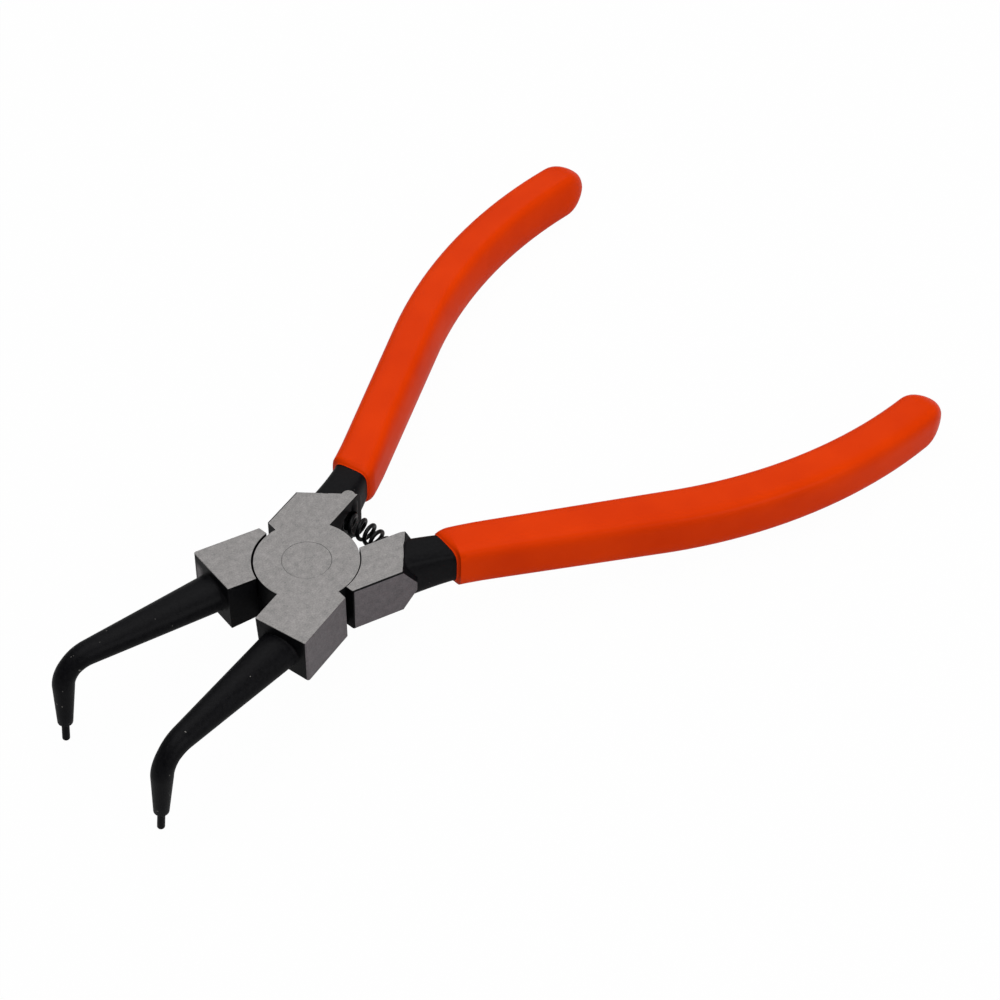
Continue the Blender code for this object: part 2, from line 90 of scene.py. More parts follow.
head_half = 5.28 * MM
disc_radius = 10.2 * MM
disc_clearance = 0.3 * MM
recess_shift = 0.19 * MM
lap_half_gap = 0.05 * MM
outer_side = 11.65 * MM
jaw_inner_side = 0.15 * MM
jaw_back_angle = math.radians(110)
handle_front_angle = math.radians(70.4)
handle_end_angle = math.radians(60)
handle_slope_run = 2.7 * MM
handle_end_height = 2.0 * MM
jaw_corner_round = 0.5 * MM
edge_round = 0.12 * MM
block_edge_round = 0.4 * MM
turned_edge_round = 0.05 * MM
same_place = 0.01 * MM  # closer than this, two heights or sides count as one

# The two are forged in one pair of dies and ground one by one, so their flats differ by some
# tenths of a millimetre. A jaw's front is given at its inner and its outer side.

upper_forging = {
    "side": -1,
    "disc_side": 1,
    "rivet_gap": 0.03 * MM,
    "jaw_front": (17.4 * MM, 17.9 * MM),
    "jaw_front_below": (16.55 * MM, 17.7 * MM),
    "jaw_outer": 11.65 * MM,
    "jaw_outer_below": 11.95 * MM,
    "jaw_inner_below": 0.15 * MM,
    "handle_outer": 12.1 * MM,
    "handle_inner": 1.4 * MM,
    "handle_corner": 1.5 * MM,
    "handle_face": 14.3 * MM,
    "nose_side": 5.6 * MM,
    "nose_toe_in": math.radians(6.2),
    "handle_root": 6.1 * MM,
    "inner_lean": 0.22,
    "flare_angle": math.radians(15.55),
    "bow_radius": 118 * MM,
    "bow_length": 62.6 * MM,
}
lower_forging = {
    "side": 1,
    "disc_side": -1,
    "rivet_gap": 0.07 * MM,
    "jaw_front": (16.4 * MM, 18.25 * MM),
    "jaw_front_below": (16.4 * MM, 18.25 * MM),
    "jaw_outer": 11.95 * MM,
    "jaw_outer_below": 11.95 * MM,
    "jaw_inner_below": -0.4 * MM,
    "handle_outer": 11.6 * MM,
    "handle_inner": 1.7 * MM,
    "handle_corner": 2.6 * MM,
    "handle_face": 14.6 * MM,
    "nose_side": 5.32 * MM,
    "nose_toe_in": math.radians(6.35),
    "handle_root": 6.45 * MM,
    "inner_lean": 0.0,
    "flare_angle": math.radians(15.8),
    "bow_radius": 109.8 * MM,
    "bow_length": 61.65 * MM,
}


def polar(radius, angle):
    return Vector((radius * math.cos(angle), radius * math.sin(angle), 0))


def mix(one, two, share):
    return one + (two - one) * min(1.0, max(0.0, share))


def loft(rings):
    """A skin through rings of equal numbers of points, capped at both ends."""
    shape = bmesh.new()
    rows = [[shape.verts.new(point) for point in ring] for ring in rings]
    for row, following in zip(rows, rows[1:]):
        for i in range(len(row)):
            j = (i + 1) % len(row)
            shape.faces.new((row[i], row[j], following[j], following[i]))
    shape.faces.new(rows[0])
    shape.faces.new(rows[-1])
    return shape


def turned(profile, steps):
    """A turned shape about Z from (radius, height) pairs."""
    angles = [2 * math.pi * i / steps for i in range(steps)]
    rings = []
    for radius, z in profile:
        rings.append([polar(radius, angle) + Vector((0, 0, z)) for angle in angles])
    return loft(rings)


def as_object(name, shape):
    """A bmesh as an object, with its faces pointing out."""
    bmesh.ops.recalc_face_normals(shape, faces=shape.faces)
    mesh = bpy.data.meshes.new(name)
    shape.to_mesh(mesh)
    shape.free()
    made = bpy.data.objects.new(name, mesh)
    bpy.context.scene.collection.objects.link(made)
    return made


def finished_mesh(piece):
    """The piece's mesh with its modifiers applied."""
    graph = bpy.context.evaluated_depsgraph_get()
    graph.update()
    return bpy.data.meshes.new_from_object(piece.evaluated_get(graph))


def apply_modifiers(piece):
    mesh = finished_mesh(piece)
    piece.modifiers.clear()
    piece.data = mesh


def cut_or_join(piece, operation, others):
    """Joins other shapes to a piece, or cuts them from it, and uses them up."""
    for other in others:
        modifier = piece.modifiers.new(other.name, "BOOLEAN")
        modifier.operation = operation
        modifier.solver = "EXACT"
        modifier.object = other
    apply_modifiers(piece)
    for other in others:
        bpy.data.objects.remove(other)


def handle_block_end(made, side_distance, past_face=0.0):
    """How far back the handle block reaches at a distance from the tool's middle."""
    slant = (outer_side - side_distance) / math.tan(handle_end_angle)
    return made["handle_face"] + slant + past_face / math.sin(handle_end_angle)


def arc(start, end):
    steps = round(abs(end - start) / math.radians(3))
    return [polar(disc_radius, start + (end - start) * i / steps) for i in range(steps + 1)]


def soft_corner(before, corner, after, radius, steps):
    """Points that round one corner of an outline."""
    one = (before - corner).normalized()
    two = (after - corner).normalized()
    half = one.angle(two) / 2
    centre = corner + (one + two).normalized() * (radius / math.sin(half))
    start = corner + one * (radius / math.tan(half)) - centre
    end = corner + two * (radius / math.tan(half)) - centre
    return [centre + start.slerp(end, i / steps) * radius for i in range(steps + 1)]


def head_outline(made, below):
    """The head in plan for a jaw at +Y, on top or below."""
    front = made["jaw_front_below"] if below else made["jaw_front"]
    jaw_inner = made["jaw_inner_below"] if below else jaw_inner_side
    jaw_outer = made["jaw_outer_below"] if below else made["jaw_outer"]
    jaw_inner_front = Vector((-front[0], jaw_inner, 0))
    jaw_outer_front = Vector((-front[1], jaw_outer, 0))
    jaw_outer_back = polar(jaw_outer / math.sin(jaw_back_angle), jaw_back_angle)
    outer, inner = made["handle_outer"], made["handle_inner"]
    handle_outer_front = polar(outer / math.sin(handle_front_angle), -handle_front_angle)
    handle_outer_back = Vector((handle_block_end(made, outer, handle_slope_run), -outer, 0))
    handle_inner_back = Vector((handle_block_end(made, inner, handle_slope_run), -inner, 0))
    jaw_meets = math.pi - math.asin(jaw_inner_side / disc_radius)
    handle_meets = -math.asin(inner / disc_radius)
    disc_by_handle = polar(disc_radius, handle_meets)
    handle_corner = made["handle_corner"]
    return [
        jaw_inner_front,
        *arc(jaw_meets, 2 * math.pi - handle_front_angle),
        handle_outer_front,
        handle_outer_back,
        *soft_corner(handle_outer_back, handle_inner_back, disc_by_handle, handle_corner, 10),
        *arc(handle_meets, jaw_back_angle),
        jaw_outer_back,
        *soft_corner(jaw_outer_back, jaw_outer_front, jaw_inner_front, jaw_corner_round, 5),
    ]


def flipped(points, side):
    return [Vector((p.x, p.y * side, p.z)) for p in points]


def end_slope(made, face):
    """The wedge of steel missing from the handle block's end, above or below."""
    fall = head_half - handle_end_height / 2
    past = 2 * MM
    profile = [
        (-past * handle_slope_run / fall, head_half + past),
        (handle_slope_run + past, head_half - fall * (1 + past / handle_slope_run)),
        (handle_slope_run + past, head_half + past),
    ]
    normal = polar(1, handle_end_angle - math.pi / 2)
    along = Vector((-normal.y, normal.x, 0))
    corner = Vector((made["handle_face"], -outer_side, 0))
    width = outer_side / math.sin(handle_end_angle)
    rings = []
    for distance in (-past, width):
        start = corner + along * distance
        ring = [start + normal * out + Vector((0, 0, z * face)) for out, z in profile]
        rings.append(flipped(ring, made["side"]))
    return as_object("end_slope", loft(rings))


def round_head_edges(head, made):
    """Rounds the head's edges, as the wheel leaves them: well on the handle block's outer edges,
    and hardly at all on the turned disc and its recess. Edges in the lap stay sharp."""
    sharpest_flat = math.radians(25)
    turned_zone = disc_radius + 1.0 * MM
    shape = bmesh.new()
    shape.from_mesh(head.data)
    bmesh.ops.remove_doubles(shape, verts=shape.verts, dist=0.0005 * MM)
    bmesh.ops.dissolve_limit(
        shape, angle_limit=math.radians(0.5), verts=shape.verts, edges=shape.edges
    )
    lap = lap_half_gap * made["disc_side"]
    block_side = made["handle_outer"] - same_place
    weights = shape.edges.layers.float.new("bevel_weight_edge")
    for edge in shape.edges:
        ends = [v.co for v in edge.verts]
        if len(edge.link_faces) != 2 or not edge.is_convex:
            continue
        in_lap = all(abs(p.z - lap) < same_place for p in ends)
        if in_lap or edge.calc_face_angle() < sharpest_flat:
            continue
        radius = edge_round
        if all(abs(p.z) > head_half - same_place for p in ends):
            if all(p.xy.length < turned_zone for p in ends):
                radius = turned_edge_round
            elif all(-p.y * made["side"] > block_side for p in ends):
                radius = block_edge_round
        edge[weights] = radius / block_edge_round
    shape.to_mesh(head.data)
    shape.free()
    rounding = head.modifiers.new("rounded edges", "BEVEL")
    rounding.limit_method = "WEIGHT"
    rounding.offset_type = "OFFSET"
    rounding.width = block_edge_round
    rounding.segments = 3
    rounding.use_clamp_overlap = False
    apply_modifiers(head)


# The nose is an oval that tapers evenly, bends down and runs on as a round tip.

nose_root = -16.9 * MM
nose_length = 32.7 * MM
nose_root_half_width = 4.3 * MM
nose_root_half_height = 3.35 * MM
nose_fillet = 1.0 * MM
nose_bend_radius = 5.9 * MM
nose_bend_half = 2.15 * MM
nose_drop = 14.95 * MM
nose_drop_lean = math.radians(5.3)
nose_drop_toe_in = math.radians(2.5)
tip_radius = 1.5 * MM
tip_shoulder = 0.5 * MM
tip_round = 0.4 * MM
pin_radius = 0.75 * MM
pin_length = 4.4 * MM
pin_end_round = pin_radius * 0.62


def oval(centre, across, up, half_width, half_height, power=2.0, points=56):
    """A ring of points: an ellipse at power 2, squarer above it."""
    ring = []
    for i in range(points):
        angle = 2 * math.pi * i / points
        u, v = math.cos(angle), math.sin(angle)
        u = math.copysign(abs(u) ** (2 / power), u)
        v = math.copysign(abs(v) ** (2 / power), v)
        ring.append(centre + across * (u * half_width) + up * (v * half_height))
    return ring


def quarter_round(steps):
    """How far along a quarter circle has gone, and what is left of its radius."""
    angles = [math.pi / 2 * (i + 1) / steps for i in range(steps)]
    return [(math.sin(angle), math.cos(angle)) for angle in angles]


def nose(made):
    forward = polar(-1, made["nose_toe_in"])
    drop = Vector((-math.tan(nose_drop_lean), -math.tan(nose_drop_toe_in), -1)).normalized()
    root = Vector((nose_root, made["nose_side"], 0))
    bend = forward.angle(drop)
    trim = nose_bend_radius * math.tan(bend / 2)
    inward = (drop - forward * forward.dot(drop)).normalized()
    bend_centre = root + forward * (nose_length - trim) + inward * nose_bend_radius
    straight = nose_length - trim
    path = [(d, root + forward * d, forward) for d in (-2 * MM, 0.0)]
    for d in (0.15, 0.3, 0.5, 0.75, 1):
        path.append((d * nose_fillet, root + forward * d * nose_fillet, forward))
    path += [(d, root + forward * d, forward) for d in (straight * i / 10 for i in range(1, 10))]
    for i in range(19):
        turn = bend * i / 18
        point = bend_centre
        point = point + (forward * math.sin(turn) - inward * math.cos(turn)) * nose_bend_radius
        heading = forward * math.cos(turn) + inward * math.sin(turn)
        path.append((straight + nose_bend_radius * turn, point, heading))
    bend_end, point, _ = path[-1]
    for i in range(1, 5):
        distance = (nose_drop - trim) * i / 4
        path.append((bend_end + distance, point + drop * distance, drop))
    bend_at = straight + nose_bend_radius * bend / 2
    end_at = path[-1][0]
    across = forward.cross(drop).normalized()
    rings = []
    for at, centre, heading in path:
        if at <= bend_at:
            half_width = mix(nose_root_half_width, nose_bend_half, at / bend_at)
            half_height = mix(nose_root_half_height, nose_bend_half, at / bend_at)
        else:
            share = (at - bend_end) / (end_at - bend_end)
            half_width = half_height = mix(nose_bend_half, tip_radius, share)
        left = nose_fillet - min(max(at, 0.0), nose_fillet)
        flare = (nose_fillet - math.sqrt(nose_fillet * nose_fillet - left * left)) * 0.9
        up = across.cross(heading)
        rings.append(oval(centre, across, up, half_width + flare, half_height + flare))
    tip = path[-1][1]
    up = across.cross(drop)
    steps = quarter_round(5)
    turned_end = [(tip_round * out, mix(pin_radius, tip_radius, left)) for out, left in steps]
    round_at = tip_shoulder + pin_length - pin_end_round
    turned_end.append((round_at, pin_radius))
    for out, left in steps:
        turned_end.append((round_at + pin_end_round * out, pin_radius * mix(0.3, 1, left)))
    rings += [oval(tip + drop * at, across, up, radius, radius) for at, radius in turned_end]
    return as_object("nose", loft([flipped(ring, made["side"]) for ring in rings]))


# Behind the head the forging necks down to a squared oval, which runs on inside the grip. The
# handles first flare apart, then run straight, and bow in again towards their ends.

handle_root_reach = 13.0 * MM
flare_length = 21.44 * MM
straight_length = 36.8 * MM
bow_start = flare_length + straight_length
neck_length = 13.8 * MM
neck_root = 4.45 * MM
tang_half_width = 3.7 * MM
thin_end = bow_start + 63 * MM
inner_lean_run = 15 * MM
tang_end_share = 0.15
# Distance along the handle, then half width, height above and below the middle, and squareness
# above and below it. The forging has a crisper edge above, and it shows through the grip.
tang_sections = [
    (neck_root, 4.15 * MM, 5.05 * MM, 5.05 * MM, 4.0, 4.0),
    (neck_length, tang_half_width, 4.0 * MM, 4.25 * MM, 4.2, 3.4),
    (bow_start, 3.9 * MM, 4.25 * MM, 4.75 * MM, 4.6, 3.4),
    (thin_end, tang_half_width, 4.25 * MM, 4.5 * MM, 4.6, 3.4),
]


def handle_place(made, at):
    """Centre and heading of the handle at a distance along it."""
    flare_radius = flare_length / made["flare_angle"]
    turn = min(at / flare_radius, made["flare_angle"])
    point = Vector((handle_root_reach, -made["handle_root"], 0))
    point += flare_radius * Vector((math.sin(turn), math.cos(turn) - 1, 0))
    heading = -turn
    straight = min(at, bow_start) - flare_length
    if straight > 0:
        point += polar(straight, heading)
    if at > bow_start:
        bow_radius = made["bow_radius"]
        centre = point + polar(bow_radius, heading + math.pi / 2)
        heading += (at - bow_start) / bow_radius
        point = centre + polar(bow_radius, heading - math.pi / 2)
    return point, heading


def handle_ring(made, at, grown=0.0, share=1.0, past=0.0, points=56, slant=0.0):
    """One section of the handle, rounder as its share shrinks. slant leans it, with its inner
    side nearer to the head."""
    for (start, *first), (stop, *second) in zip(tang_sections, tang_sections[1:]):
        if at <= stop:
            break
    part = (at - start) / (stop - start)
    half_width, *halves = [mix(a, b, part) for a, b in zip(first, second)]
    centre, heading = handle_place(made, at + past)
    across = polar(1, heading + math.pi / 2)
    if at < neck_length:
        centre = centre + across * (half_width - tang_half_width)
    leaning = across + polar(-slant, heading)
    above, below = [
        oval(
            centre,
            leaning,
            Vector((0, 0, 1)),
            (half_width + grown) * share,
            (height + grown) * share,
            mix(2.0, power, share**4),
            points,
        )
        for height, power in zip(halves[:2], halves[2:])
    ]
    ring = above[: points // 2] + below[points // 2 :]
    # The upper lever's inner side leans in towards its top, which sets in behind the neck
    lean = made["inner_lean"] * mix(0, 1, (at - neck_length) / inner_lean_run)
    for point in ring:
        inward = (point - centre).dot(across)
        if inward > 0 and point.z > 0:
            point -= across * (inward * lean * point.z / (halves[0] + grown))
    return ring


def neck_and_tang(made):
    neck = [neck_root + (neck_length - neck_root) * i / 8 for i in range(9)]
    flare = [mix(neck_length, bow_start, i / 8) for i in range(1, 8)]
    handle_length = bow_start + made["bow_length"]
    bow = [mix(bow_start, handle_length, i / 12) for i in range(13)]
    rings = [handle_ring(made, at) for at in (neck_root - 2 * MM, *neck, *flare, *bow)]
    for out, left in quarter_round(6):
        share = mix(tang_end_share, 1, left)
        rings.append(handle_ring(made, handle_length, 0, share, tang_half_width * out))
    return as_object("neck", loft([flipped(ring, made["side"]) for ring in rings]))


# A turned boss stands in the upper lever's inner rear corner. Its top is ground with the block.

boss_reach, boss_side = 18.85 * MM, 2.85 * MM
boss_top_radius, boss_radius = 1.4 * MM, 1.85 * MM
boss_height = 2.0 * MM
boss_rim = 0.08 * MM


def boss(made):
    profile = [
        (boss_radius, head_half - boss_height),
        (boss_top_radius, head_half - boss_rim),
        (boss_top_radius - boss_rim, head_half),
    ]
    shape = turned([*[(radius, -z) for radius, z in reversed(profile)], *profile], 64)
    piece = as_object("boss", shape)
    piece.data.transform(Matrix.Translation((boss_reach, -boss_side * made["side"], 0)))
    return piece


# Rivet hole and the blind pocket for the spring's end, both drilled before assembly. The spring
# lies on a circle round the rivet, and each pocket is drilled along that circle's tangent.

rivet_shank, rivet_head, rivet_depth = 3.6 * MM, 4.8 * MM, 1.5 * MM
spring_reach = 16.6 * MM
spring_mean_radius = 1.9 * MM
spring_wire_radius = 0.42 * MM
pocket_depth = 2.5 * MM
pocket_clearance = 0.25 * MM
pocket_mouth = math.asin(upper_forging["handle_inner"] / spring_reach)
spring_height = 0.25 * MM


def rivet_hole(gap):
    past = 1 * MM
    wider = rivet_head + gap + past * (rivet_head - rivet_shank) / rivet_depth
    shank = rivet_shank + gap
    profile = [
        (wider, -head_half - past),
        (shank, -head_half + rivet_depth),
        (shank, head_half - rivet_depth),
        (wider, head_half + past),
    ]
    return as_object("rivet_hole", turned(profile, 96))


def spring_pocket(side):
    radius = spring_mean_radius + spring_wire_radius + pocket_clearance
    middle = pocket_depth / 2
    hole = as_object("spring_pocket", turned([(radius, -middle - 2 * MM), (radius, middle)], 48))
    along = Matrix.Rotation(math.pi / 2 * side, 4, "X")
    along = Matrix.Translation((spring_reach, 0, spring_height)) @ along
    swing = pocket_mouth + middle / spring_reach
    hole.data.transform(Matrix.Rotation(-swing * side, 4, "Z") @ along)
    return hole


def lever(name, made, opening):
    """One forging, from its dies to the last drilled hole, then opened and laid on the table."""
    side, disc_side = made["side"], made["disc_side"]
    rings = []
    for z in (-head_half, head_half):
        rings.append([Vector((p.x, p.y, z)) for p in flipped(head_outline(made, z < 0), side)])
    piece = as_object(name, loft(rings))
    cut_or_join(piece, "DIFFERENCE", [end_slope(made, 1), end_slope(made, -1)])
    low, high = sorted((lap_half_gap * disc_side, -disc_side * 8 * MM))
    recess_radius = disc_radius + disc_clearance
    recess = as_object("lap_recess", turned([(recess_radius, low), (recess_radius, high)], 120))
    recess.data.transform(Matrix.Translation((0, recess_shift * side, 0)))
    cut_or_join(piece, "DIFFERENCE", [recess])
    round_head_edges(piece, made)
    bosses = [boss(made)] if made is upper_forging else []
    cut_or_join(piece, "UNION", [*bosses, nose(made), neck_and_tang(made)])
    cut_or_join(piece, "DIFFERENCE", [rivet_hole(made["rivet_gap"]), spring_pocket(side)])
    piece.data.transform(on_table @ Matrix.Rotation(opening, 4, "Z"))
    return piece


def smooth_shading(piece, sharp_angle):
    """Smooth faces that keep the flats flat, with edges sharper than an angle left crisp."""
    piece.data.shade_smooth()
    piece.data.set_sharp_from_angle(angle=math.radians(sharp_angle))
    weighted = piece.modifiers.new("flats", "WEIGHTED_NORMAL")
    weighted.keep_sharp = True
    weighted.weight = 100
    apply_modifiers(piece)


def colour(code):
    """A hex colour in sRGB, as the linear colour that a shader takes."""
    parts = [int(code[i : i + 2], 16) / 255 for i in (1, 3, 5)]
    return [c / 12.92 if c <= 0.04045 else ((c + 0.055) / 1.055) ** 2.4 for c in parts] + [1.0]


def add_node(tree, kind, links=None, **settings):
    """One node with its settings. links gives each input a value, or what feeds it: a socket, or
    a node, which feeds it from its first output."""
    node = tree.nodes.new(kind)
    for name, value in settings.items():
        setattr(node, name, value)
    for name, value in (links or {}).items():
        if isinstance(value, bpy.types.Node):
            value = value.outputs[0]
        if isinstance(value, bpy.types.NodeSocket):
            tree.links.new(value, node.inputs[name])
        else:
            node.inputs[name].default_value = value
    return node


def new_material(name):
    made = bpy.data.materials.new(name)
    made.use_nodes = True
    return made, made.node_tree, made.node_tree.nodes["Principled BSDF"]


def forged_steel(name, made, opening):
    """Phosphated chrome-vanadium forging with ground faces, for one lever.

    The phosphate bath leaves a sooty, finely grained black that is nearly matt, with a few
    bright nicks. The grinding wheel leaves a warm grey flat with a fine mottle and faint
    straight lines, and its edge wanders where it runs out over the forging's shoulders.
    """
    # Where the ground head ends in front and behind, and where the nose bends, in mm
    head_front, head_back, nose_bends = -18.4, 23.0, -38.0
    material, tree, shader = new_material(name)
    side = made["side"]
    to_lever = (on_table @ Matrix.Rotation(opening, 4, "Z")).inverted()
    place = add_node(tree, "ShaderNodeTexCoord")
    lever_mm = add_node(
        tree,
        "ShaderNodeMapping",
        {
            "Vector": place.outputs["Object"],
            "Location": to_lever.translation / MM,
            "Rotation": to_lever.to_euler("XYZ"),
            "Scale": (1 / MM, 1 / MM, 1 / MM),
        },
    ).outputs["Vector"]
    axes = add_node(tree, "ShaderNodeSeparateXYZ", {"Vector": lever_mm}).outputs

    above = add_node(
        tree,
        "ShaderNodeMath",
        {
            0: add_node(tree, "ShaderNodeMath", {0: axes["Z"]}, operation="ABSOLUTE"),
            1: head_half / MM,
        },
        operation="SUBTRACT",
    )
    past_jaw = add_node(
        tree,
        "ShaderNodeMath",
        {0: axes["Y"], 1: float(side), 2: -made["jaw_outer"] / MM},
        operation="MULTIPLY_ADD",
    )
    past_handle = add_node(
        tree,
        "ShaderNodeMath",
        {0: axes["Y"], 1: -float(side), 2: -made["handle_outer"] / MM},
        operation="MULTIPLY_ADD",
    )
    outside = add_node(
        tree,
        "ShaderNodeMath",
        {
            0: add_node(tree, "ShaderNodeMath", {0: past_jaw, 1: past_handle}, operation="MAXIMUM"),
            1: 0.04,
        },
        operation="ADD",
    )
    wander = add_node(
        tree, "ShaderNodeTexNoise", {"Vector": lever_mm, "Scale": 0.35, "Detail": 3.0}
    )
    normal = polar(1, handle_end_angle - math.pi / 2)
    corner = Vector((made["handle_face"], -outer_side, 0))
    past_face = add_node(
        tree,
        "ShaderNodeMath",
        {0: axes["X"], 1: normal.x, 2: -corner.dot(normal) / MM},
        operation="MULTIPLY_ADD",
    )
    past_face = add_node(
        tree,
        "ShaderNodeMath",
        {0: axes["Y"], 1: normal.y * side, 2: past_face},
        operation="MULTIPLY_ADD",
    )
    past_face = add_node(
        tree,
        "ShaderNodeMath",
        {
            0: past_face,
            1: add_node(
                tree, "ShaderNodeMath", {0: wander, 1: 0.9, 2: -0.35}, operation="MULTIPLY_ADD"
            ),
        },
        operation="ADD",
    )
    boss_x = add_node(tree, "ShaderNodeMath", {0: axes["X"], 1: -boss_reach / MM}, operation="ADD")
    boss_y = add_node(
        tree, "ShaderNodeMath", {0: axes["Y"], 1: side * boss_side / MM}, operation="ADD"
    )
    from_boss = add_node(
        tree,
        "ShaderNodeMath",
        {
            0: boss_x,
            1: boss_x,
            2: add_node(tree, "ShaderNodeMath", {0: boss_y, 1: boss_y}, operation="MULTIPLY"),
        },
        operation="MULTIPLY_ADD",
    )
    off_boss = add_node(
        tree,
        "ShaderNodeMath",
        {0: from_boss, 1: (boss_top_radius / MM + 0.05) ** 2},
        operation="GREATER_THAN",
    )
    run_out = add_node(
        tree,
        "ShaderNodeMath",
        {
            0: add_node(tree, "ShaderNodeMath", {0: past_face, 1: 0.0}, operation="MAXIMUM"),
            1: off_boss,
        },
        operation="MULTIPLY",
    )
    above = add_node(
        tree, "ShaderNodeMath", {0: run_out, 1: -2.0, 2: above}, operation="MULTIPLY_ADD"
    )
    depth = add_node(tree, "ShaderNodeMath", {0: above, 1: outside}, operation="MAXIMUM")
    # On the jaws the grinding runs over the rounded edges
    on_jaw = add_node(
        tree,
        "ShaderNodeMath",
        {
            0: add_node(tree, "ShaderNodeMath", {0: axes["X"], 1: 0.0}, operation="LESS_THAN"),
            1: 0.11,
        },
        operation="MULTIPLY",
    )
    wandering = add_node(
        tree,
        "ShaderNodeMath",
        {
            0: add_node(
                tree, "ShaderNodeMath", {0: wander, 1: 0.02, 2: 0.004}, operation="MULTIPLY_ADD"
            ),
            1: on_jaw,
        },
        operation="ADD",
    )
    reached = add_node(
        tree,
        "ShaderNodeMath",
        {0: add_node(tree, "ShaderNodeMath", {0: depth, 1: wandering}, operation="ADD"), 1: 0.008},
        operation="DIVIDE",
        use_clamp=True,
    )
    behind_front = add_node(
        tree, "ShaderNodeMath", {0: axes["X"], 1: head_front}, operation="GREATER_THAN"
    )
    on_head = add_node(
        tree,
        "ShaderNodeMath",
        {
            0: behind_front,
            1: add_node(
                tree, "ShaderNodeMath", {0: axes["X"], 1: head_back}, operation="LESS_THAN"
            ),
        },
        operation="MULTIPLY",
    )
    ground = add_node(tree, "ShaderNodeMath", {0: reached, 1: on_head}, operation="MULTIPLY")
    # Painted reflection of the table: the low outer corner of the lower lever's jaw front, from 8.5
    # to 11.4 mm out and from 3.7 mm above the lap down, is lightened part way towards ground steel
    table_reflection_share = 0.8 if made is lower_forging else 0.0
    out_by = add_node(
        tree,
        "ShaderNodeMath",
        {0: axes["Y"], 1: side / 1.5, 2: -8.5 / 1.5},
        operation="MULTIPLY_ADD",
        use_clamp=True,
    )
    inside_edge = add_node(
        tree,
        "ShaderNodeMath",
        {0: axes["Y"], 1: side / -0.5, 2: 11.4 / 0.5},
        operation="MULTIPLY_ADD",
        use_clamp=True,
    )
    out_by = add_node(tree, "ShaderNodeMath", {0: out_by, 1: inside_edge}, operation="MULTIPLY")
    low_by = add_node(
        tree,
        "ShaderNodeMath",
        {0: axes["Z"], 1: -0.6, 2: 2.2},
        operation="MULTIPLY_ADD",
        use_clamp=True,
    )
    in_front = add_node(
        tree, "ShaderNodeMath", {0: axes["X"], 1: -made["jaw_front"][0] / MM}, operation="LESS_THAN"
    )
    at_corner = add_node(tree, "ShaderNodeMath", {0: out_by, 1: low_by}, operation="MULTIPLY")
    painted_table_reflection = add_node(
        tree,
        "ShaderNodeMath",
        {
            0: at_corner,
            1: add_node(tree, "ShaderNodeMath", {0: in_front, 1: on_head}, operation="MULTIPLY"),
        },
        operation="MULTIPLY",
    )
    # From here on the ground mask also holds the painted table reflection on that jaw corner
    ground = add_node(
        tree,
        "ShaderNodeMath",
        {
            0: ground,
            1: add_node(
                tree, "ShaderNodeMath", {0: painted_table_reflection, 1: table_reflection_share}, operation="MULTIPLY"
            ),
        },
        operation="MAXIMUM",
    )

    # Grinding lines 0.15 mm apart, drawn out along the tool, over clouds 1 mm and grit 0.3 mm
    # across
    drawn_out = {"Vector": lever_mm, "Scale": (0.12, 3.2, 3.2)}
    lines_at = add_node(tree, "ShaderNodeMapping", drawn_out)
    lines = add_node(tree, "ShaderNodeTexNoise", {"Vector": lines_at, "Scale": 2.0, "Detail": 4.0})
    cloud = add_node(tree, "ShaderNodeTexNoise", {"Vector": lever_mm, "Scale": 0.8, "Detail": 5.0})
    grit = add_node(tree, "ShaderNodeTexNoise", {"Vector": lever_mm, "Scale": 3.2, "Detail": 2.0})
    tone = add_node(
        tree,
        "ShaderNodeMath",
        {
            0: add_node(tree, "ShaderNodeMath", {0: lines, 1: 0.2}, operation="MULTIPLY"),
            1: add_node(tree, "ShaderNodeMath", {0: cloud, 1: 0.45}, operation="MULTIPLY"),
        },
        operation="ADD",
    )
    tone = add_node(
        tree,
        "ShaderNodeMath",
        {0: tone, 1: add_node(tree, "ShaderNodeMath", {0: grit, 1: 0.5}, operation="MULTIPLY")},
        operation="ADD",
    )
    bright = add_node(tree, "ShaderNodeValToRGB", {"Fac": tone})
    bright.color_ramp.elements[0].position = 0.38
    bright.color_ramp.elements[0].color = colour("#6A6968")
    bright.color_ramp.elements[1].position = 0.78
    bright.color_ramp.elements[1].color = colour("#8A8786")
    # The outer sides are painted darker than the faces, as painted shade for the way the light
    # falls on them
    on_side = add_node(tree, "ShaderNodeMath", {0: outside, 1: above}, operation="GREATER_THAN")
    sides_painted_darker = add_node(
        tree,
        "ShaderNodeMix",
        {"Factor": on_side, 7: colour("#DED8DF")},
        data_type="RGBA",
        blend_type="MULTIPLY",
    )
    tree.links.new(bright.outputs["Color"], sides_painted_darker.inputs[6])

